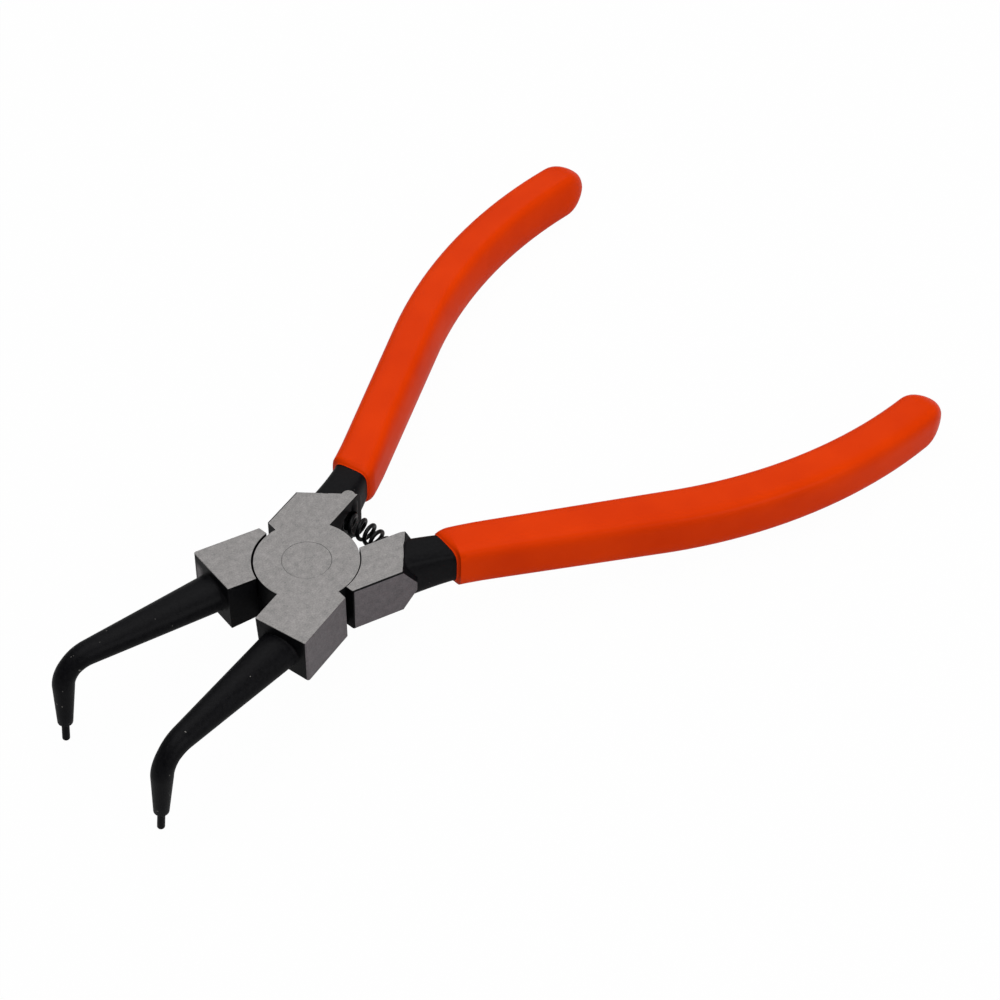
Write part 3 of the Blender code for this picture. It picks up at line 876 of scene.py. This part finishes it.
    # Phosphate grain 0.6 mm across, coarser than the real one so that it shows, and nicks under
    # 0.5 mm where the tool was handled, more of them from the bend on
    grain = add_node(tree, "ShaderNodeTexNoise", {"Vector": lever_mm, "Scale": 1.6, "Detail": 6.0})
    soot = add_node(tree, "ShaderNodeValToRGB", {"Fac": grain})
    soot.color_ramp.elements[0].position = 0.35
    soot.color_ramp.elements[0].color = colour("#060608")
    soot.color_ramp.elements[1].position = 0.72
    soot.color_ramp.elements[1].color = colour("#0F0F11")
    nicks = add_node(tree, "ShaderNodeTexNoise", {"Vector": lever_mm, "Scale": 1.1, "Detail": 1.0})
    on_bend = add_node(
        tree,
        "ShaderNodeMath",
        {
            0: add_node(
                tree, "ShaderNodeMath", {0: axes["X"], 1: nose_bends}, operation="LESS_THAN"
            ),
            1: 0.05,
            2: -0.79,
        },
        operation="MULTIPLY_ADD",
    )
    nicked = add_node(
        tree,
        "ShaderNodeMath",
        {
            0: add_node(
                tree, "ShaderNodeMath", {0: nicks, 1: on_bend}, operation="ADD", use_clamp=True
            ),
            1: 22.0,
        },
        operation="MULTIPLY",
        use_clamp=True,
    )
    black = add_node(
        tree,
        "ShaderNodeMix",
        {"Factor": nicked, "A": soot.outputs["Color"], "B": colour("#6A6764")},
        data_type="RGBA",
    )
    finish = add_node(tree, "ShaderNodeMix", {"Factor": ground}, data_type="RGBA")
    tree.links.new(black.outputs[2], finish.inputs[6])
    tree.links.new(sides_painted_darker.outputs[2], finish.inputs[7])
    tree.links.new(finish.outputs[2], shader.inputs["Base Color"])

    black_rough = add_node(
        tree, "ShaderNodeMath", {0: grain, 1: 0.16, 2: 0.38}, operation="MULTIPLY_ADD"
    )
    ground_rough = add_node(
        tree, "ShaderNodeMath", {0: lines, 1: 0.12, 2: 0.36}, operation="MULTIPLY_ADD"
    )
    roughs = {"Factor": ground, "A": black_rough, "B": ground_rough}
    rough = add_node(tree, "ShaderNodeMix", roughs)
    tree.links.new(rough.outputs[0], shader.inputs["Roughness"])
    tree.links.new(ground.outputs[0], shader.inputs["Metallic"])
    shader.inputs["Specular IOR Level"].default_value = 0.06
    reliefs = {
        "Factor": ground,
        "A": grain,
        "B": add_node(tree, "ShaderNodeMath", {0: lines, 1: 0.07}, operation="MULTIPLY"),
    }
    relief = add_node(tree, "ShaderNodeMix", reliefs)
    bump = add_node(
        tree,
        "ShaderNodeBump",
        {"Height": relief.outputs[0], "Strength": 0.35, "Distance": 0.03 * MM},
    )
    tree.links.new(bump.outputs["Normal"], shader.inputs["Normal"])
    return material


for name, made in (("upper_lever", upper_forging), ("lower_lever", lower_forging)):
    opening = -made["side"] * half_opening
    forging = lever(name + "_forging", made, opening)
    smooth_shading(forging, 32)
    forging.data.materials.clear()
    steel = forged_steel(name + " phosphated and ground steel", made, opening)
    forging.data.materials.append(steel)
    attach(forging, "upper_half" if made is upper_forging else "lower_half")
    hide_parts(name)


# The rivet
# A soft steel rivet, upset into both countersinks and ground flush with the head, so that only
# a hairline circle shows. It is fixed in the upper lever, and the lower one turns on it.

rivet_rim, rivet_rim_depth = 0.05 * MM, 0.04 * MM
rivet_profile = [
    (rivet_head - rivet_rim, -head_half),
    (rivet_head, -head_half + rivet_rim_depth),
    (rivet_shank, -head_half + rivet_depth),
    (rivet_shank, head_half - rivet_depth),
    (rivet_head, head_half - rivet_rim_depth),
    (rivet_head - rivet_rim, head_half),
]
rivet = as_object("flush_rivet", turned(rivet_profile, 96))
rivet.data.transform(on_table)
smooth_shading(rivet, 20)
rivet.data.materials.append(bpy.data.materials["upper_lever phosphated and ground steel"])
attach(rivet, "upper_half")
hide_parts("pivot_rivet")


# The return spring
# A compression spring of blacked 0.84 mm wire, wound cold, with one closed turn at each end.
# It sits in a blind pocket in each handle block.

spring_seat = spring_reach * (half_opening + pocket_mouth) + pocket_depth
spring_seat_gap = 0.15 * MM
spring_sizes = {
    "Mean radius": spring_mean_radius,
    "Wire radius": spring_wire_radius,
    "Bend radius": spring_reach,
    "Half length": spring_seat - spring_seat_gap - spring_wire_radius,
    "Pitch": 2.1 * MM,
    "Closed pitch": 0.92 * MM,
}
steps_per_turn = 28
spring_turns = (
    2 * spring_sizes["Half length"] - 2 * spring_sizes["Closed pitch"]
) / spring_sizes["Pitch"] + 2


def spring_tree(finish):
    """Winds the wire along a circle round the rivet, with closed end turns."""
    tree = bpy.data.node_groups.new("coil spring", "GeometryNodeTree")
    for name in spring_sizes:
        tree.interface.new_socket(name, in_out="INPUT", socket_type="NodeSocketFloat")
    tree.interface.new_socket("Turns", in_out="INPUT", socket_type="NodeSocketFloat")
    tree.interface.new_socket("Geometry", in_out="OUTPUT", socket_type="NodeSocketGeometry")
    given = tree.nodes.new("NodeGroupInput").outputs

    line = add_node(
        tree,
        "GeometryNodeMeshLine",
        {"Count": round(spring_turns * steps_per_turn) + 1, "Offset": (0, 0, 0)},
    )
    step = add_node(tree, "GeometryNodeInputIndex").outputs[0]
    turn = add_node(tree, "ShaderNodeMath", {0: step, 1: float(steps_per_turn)}, operation="DIVIDE")
    open_turns = add_node(tree, "ShaderNodeMath", {0: given["Turns"], 1: 2.0}, operation="SUBTRACT")
    first = add_node(tree, "ShaderNodeMath", {0: turn, 1: 1.0}, operation="MINIMUM")
    past_first = add_node(tree, "ShaderNodeMath", {0: turn, 1: 1.0}, operation="SUBTRACT")
    after_first = add_node(tree, "ShaderNodeMath", {0: past_first, 1: 0.0}, operation="MAXIMUM")
    middle = add_node(
        tree, "ShaderNodeMath", {0: after_first, 1: open_turns}, operation="MINIMUM"
    )
    past_open = add_node(
        tree, "ShaderNodeMath", {0: past_first, 1: open_turns}, operation="SUBTRACT"
    )
    last = add_node(tree, "ShaderNodeMath", {0: past_open, 1: 0.0}, operation="MAXIMUM")
    closed = add_node(
        tree,
        "ShaderNodeMath",
        {
            0: add_node(tree, "ShaderNodeMath", {0: first, 1: last}, operation="ADD"),
            1: given["Closed pitch"],
        },
        operation="MULTIPLY",
    )
    rise = add_node(
        tree,
        "ShaderNodeMath",
        {
            0: closed,
            1: add_node(
                tree, "ShaderNodeMath", {0: middle, 1: given["Pitch"]}, operation="MULTIPLY"
            ),
        },
        operation="ADD",
    )
    along = add_node(
        tree, "ShaderNodeMath", {0: rise, 1: given["Half length"]}, operation="SUBTRACT"
    )
    angle = add_node(
        tree,
        "ShaderNodeMath",
        {0: turn, 1: -2 * math.pi, 2: -math.pi / 2},
        operation="MULTIPLY_ADD",
    )
    outward = add_node(
        tree,
        "ShaderNodeMath",
        {
            0: add_node(tree, "ShaderNodeMath", {0: angle}, operation="COSINE"),
            1: given["Mean radius"],
            2: given["Bend radius"],
        },
        operation="MULTIPLY_ADD",
    )
    swung = add_node(
        tree, "ShaderNodeMath", {0: along, 1: given["Bend radius"]}, operation="DIVIDE"
    )
    point = add_node(
        tree,
        "ShaderNodeCombineXYZ",
        {
            "X": add_node(
                tree,
                "ShaderNodeMath",
                {0: add_node(tree, "ShaderNodeMath", {0: swung}, operation="COSINE"), 1: outward},
                operation="MULTIPLY",
            ),
            "Y": add_node(
                tree,
                "ShaderNodeMath",
                {0: add_node(tree, "ShaderNodeMath", {0: swung}, operation="SINE"), 1: outward},
                operation="MULTIPLY",
            ),
            "Z": add_node(
                tree,
                "ShaderNodeMath",
                {
                    0: add_node(tree, "ShaderNodeMath", {0: angle}, operation="SINE"),
                    1: given["Mean radius"],
                },
                operation="MULTIPLY",
            ),
        },
    )
    wound = add_node(
        tree,
        "GeometryNodeSetPosition",
        {"Geometry": line.outputs[0], "Position": point.outputs[0]},
    )
    path = add_node(tree, "GeometryNodeMeshToCurve", {"Mesh": wound.outputs[0]})
    section = add_node(
        tree, "GeometryNodeCurvePrimitiveCircle", {"Resolution": 16, "Radius": given["Wire radius"]}
    )
    wire = add_node(
        tree,
        "GeometryNodeCurveToMesh",
        {"Curve": path.outputs[0], "Profile Curve": section.outputs[0], "Fill Caps": True},
    )
    smooth = add_node(tree, "GeometryNodeSetShadeSmooth", {"Geometry": wire.outputs[0]})
    whole = add_node(tree, "GeometryNodeRealizeInstances", {"Geometry": smooth.outputs[0]})
    named = add_node(
        tree, "GeometryNodeSetMaterial", {"Geometry": whole.outputs[0], "Material": finish}
    )
    add_node(tree, "NodeGroupOutput", {"Geometry": named.outputs[0]})
    return tree


def spring_wire():
    """Oil-blacked spring wire: smooth drawn wire, so it keeps a narrow dim line of light."""
    material, tree, shader = new_material("oil-blacked spring wire")
    place = add_node(tree, "ShaderNodeTexCoord")
    # Uneven black about 0.5 mm across
    patches = add_node(
        tree,
        "ShaderNodeTexNoise",
        {"Vector": place.outputs["Object"], "Scale": 2 / MM, "Detail": 3.0},
    )
    tone = add_node(tree, "ShaderNodeValToRGB", {"Fac": patches.outputs[0]})
    tone.color_ramp.elements[0].color = colour("#050506")
    tone.color_ramp.elements[1].color = colour("#111113")
    tree.links.new(tone.outputs["Color"], shader.inputs["Base Color"])
    shader.inputs["Specular IOR Level"].default_value = 0.14
    shader.inputs["Roughness"].default_value = 0.34
    return material


spring = as_object("coil_spring", bmesh.new())
winding = spring.modifiers.new("winding", "NODES")
winding.node_group = spring_tree(spring_wire())
sockets = {item.name: item.identifier for item in winding.node_group.interface.items_tree}
for name, value in {**spring_sizes, "Turns": spring_turns}.items():
    winding[sockets[name]] = value
apply_modifiers(spring)
spring.data.transform(on_table @ Matrix.Translation((0, 0, spring_height)))
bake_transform(spring)
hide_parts("return_spring")


# The two grips
# The tangs are heated and dipped in liquid PVC, which sets to a smooth skin 1 mm thick. It
# thins out to nothing at the front, where the dip stopped, and gathers at the rounded end.

grip_fit = 0.03 * MM
grip_wall = 0.92 * MM
grip_end_wall = 3.3 * MM
grip_rim = 0.3 * MM
grip_thin_front = 1.4 * MM


def grip(name, made, front, slant):
    points = 96
    handle_length = bow_start + made["bow_length"]
    rings = []
    for out, left in reversed(quarter_round(6)):
        share, past = mix(tang_end_share, 1, left), (tang_half_width + grip_fit) * out
        rings.append(handle_ring(made, handle_length, grip_fit, share, past, points))
    bow = [mix(bow_start, handle_length, i / 20) for i in range(21)]
    straight = [mix(front, bow_start, i / 14) for i in range(1, 14)]
    rings += [handle_ring(made, at, grip_fit, 1, 0, points) for at in reversed(straight + bow)]
    rings.append(handle_ring(made, front, grip_fit, 1, 0, points, slant))
    for turn in (0.0, 0.25, 0.5, 0.75, 1.0):
        back = grip_rim * (1 - math.sin(turn * math.pi / 2))
        grown = grip_fit + grip_rim * (1 - math.cos(turn * math.pi / 2)) + grip_rim * 0.2
        past = grip_rim * turn - back * 0.3
        rings.append(handle_ring(made, front, grown, 1, past, points, slant))
    for i in range(1, 9):
        share = i / 8
        grown = mix(grip_fit + grip_rim * 1.2, grip_fit + grip_wall, 1 - (1 - share) ** 2)
        lean = slant * (1 - share)
        at = front + grip_thin_front * share
        rings.append(handle_ring(made, at, grown, 1, grip_rim, points, lean))
    outer = grip_fit + grip_wall
    whole = [at for at in straight + bow if at > front + grip_thin_front + grip_rim]
    rings += [handle_ring(made, at, outer, 1, 0, points) for at in whole]
    for out, left in quarter_round(12):
        past = (tang_half_width + grip_fit + grip_end_wall) * out
        rings.append(handle_ring(made, handle_length, outer, mix(0.04, 1, left), past, points))
    return as_object(name, loft([flipped(ring, made["side"]) for ring in rings]))


def dipped_pvc():
    """Orange dipped PVC: evenly coloured, with a low, soft sheen over a faint ripple."""
    material, tree, shader = new_material("orange dipped PVC")
    place = add_node(tree, "ShaderNodeTexCoord")
    # The colour deepens a little in clouds 12 mm across, and the ripple is 2.5 mm long
    clouds = add_node(
        tree,
        "ShaderNodeTexNoise",
        {"Vector": place.outputs["Object"], "Scale": 0.08 / MM, "Detail": 2.0},
    )
    tone = add_node(tree, "ShaderNodeValToRGB", {"Fac": clouds.outputs[0]})
    tone.color_ramp.elements[0].position = 0.3
    tone.color_ramp.elements[0].color = colour("#CA3202")
    tone.color_ramp.elements[1].position = 0.7
    tone.color_ramp.elements[1].color = colour("#D43803")
    tree.links.new(tone.outputs["Color"], shader.inputs["Base Color"])
    ripple = add_node(
        tree,
        "ShaderNodeTexNoise",
        {"Vector": place.outputs["Object"], "Scale": 0.4 / MM, "Detail": 2.0},
    )
    rough = add_node(
        tree, "ShaderNodeMath", {0: ripple.outputs[0], 1: 0.10, 2: 0.26}, operation="MULTIPLY_ADD"
    )
    tree.links.new(rough.outputs[0], shader.inputs["Roughness"])
    bump = add_node(
        tree,
        "ShaderNodeBump",
        {"Height": ripple.outputs[0], "Strength": 0.3, "Distance": 0.05 * MM},
    )
    tree.links.new(bump.outputs["Normal"], shader.inputs["Normal"])
    shader.inputs["IOR"].default_value = 1.53
    shader.inputs["Specular IOR Level"].default_value = 0.02
    return material


pvc = dipped_pvc()
for name, made, front, slant in (
    ("upper_lever_grip", upper_forging, neck_length - 0.3 * MM, 0.17),
    ("lower_lever_grip", lower_forging, neck_length - 0.7 * MM, 0.3),
):
    sleeve = grip(name + "_sleeve", made, front, slant)
    sleeve.data.transform(on_table @ Matrix.Rotation(-made["side"] * half_opening, 4, "Z"))
    smooth_shading(sleeve, 60)
    sleeve.data.materials.append(pvc)
    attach(sleeve, "upper_half" if made is upper_forging else "lower_half")
    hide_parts(name)


# The table and the light
# A white table top that runs out of view, with soft light from a large panel overhead, a weaker
# one beyond the handles, one beside them and a pale room all round.


def white_table():
    """White laminate. To the camera and in reflections it is nearly plain white, as in a studio
    cut-out, and a part of the shadow stays on it."""
    material, tree, shader = new_material("white laminate table")
    shader.inputs["Base Color"].default_value = colour("#CECECE")
    shader.inputs["Roughness"].default_value = 0.6
    path = add_node(tree, "ShaderNodeLightPath").outputs
    mirrored = add_node(
        tree,
        "ShaderNodeMath",
        {0: path["Is Glossy Ray"], 1: path["Is Transmission Ray"]},
        operation="MAXIMUM",
    )
    mirrored = add_node(
        tree, "ShaderNodeMath", {0: mirrored.outputs[0], 1: 0.2}, operation="MULTIPLY"
    )
    share = add_node(
        tree,
        "ShaderNodeMath",
        {0: path["Is Camera Ray"], 1: 0.98, 2: mirrored.outputs[0]},
        operation="MULTIPLY_ADD",
    )
    glow = add_node(tree, "ShaderNodeEmission", {"Color": colour("#FFFFFF"), "Strength": 1.0})
    both = add_node(tree, "ShaderNodeMixShader", {"Fac": share.outputs[0]})
    tree.links.new(shader.outputs[0], both.inputs[1])
    tree.links.new(glow.outputs[0], both.inputs[2])
    tree.links.new(both.outputs[0], tree.nodes["Material Output"].inputs["Surface"])
    return material


top = bmesh.new()
bmesh.ops.create_grid(top, x_segments=1, y_segments=1, size=3.0)
table = as_object("table_top", top)
table.data.materials.append(white_table())

world = bpy.data.worlds.new("pale room")
bpy.context.scene.world = world
world.use_nodes = True
sky = world.node_tree.nodes["Background"]
sky.inputs["Color"].default_value = colour("#FFFFFF")
room_path = add_node(world.node_tree, "ShaderNodeLightPath").outputs
room_light = add_node(
    world.node_tree,
    "ShaderNodeMix",
    {"Factor": room_path["Is Camera Ray"], "A": 0.28, "B": 1.0},
)
world.node_tree.links.new(room_light.outputs[0], sky.inputs["Strength"])


def soft_panel(name, place, aim, width, power):
    """A square light panel that faces a point on the tool."""
    panel = bpy.data.objects.new(name, bpy.data.lights.new(name, "AREA"))
    bpy.context.scene.collection.objects.link(panel)
    panel.data.shape = "SQUARE"
    panel.data.size = width
    panel.data.energy = power
    panel.location = place
    panel.rotation_euler = (Vector(aim) - Vector(place)).to_track_quat("-Z", "Y").to_euler()


soft_panel("overhead_panel", (0.0, 0.0, 0.9), (0, 0, 0), 0.8, 5.2)
soft_panel("far_panel", (0.50, 0.50, 0.72), (-0.02, 0, 0.01), 0.8, 2.7)
soft_panel("front_panel", (0.12, -0.94, 0.5), (-0.02, 0, 0.01), 0.6, 4.3)

bpy.context.scene.view_settings.view_transform = "Standard"
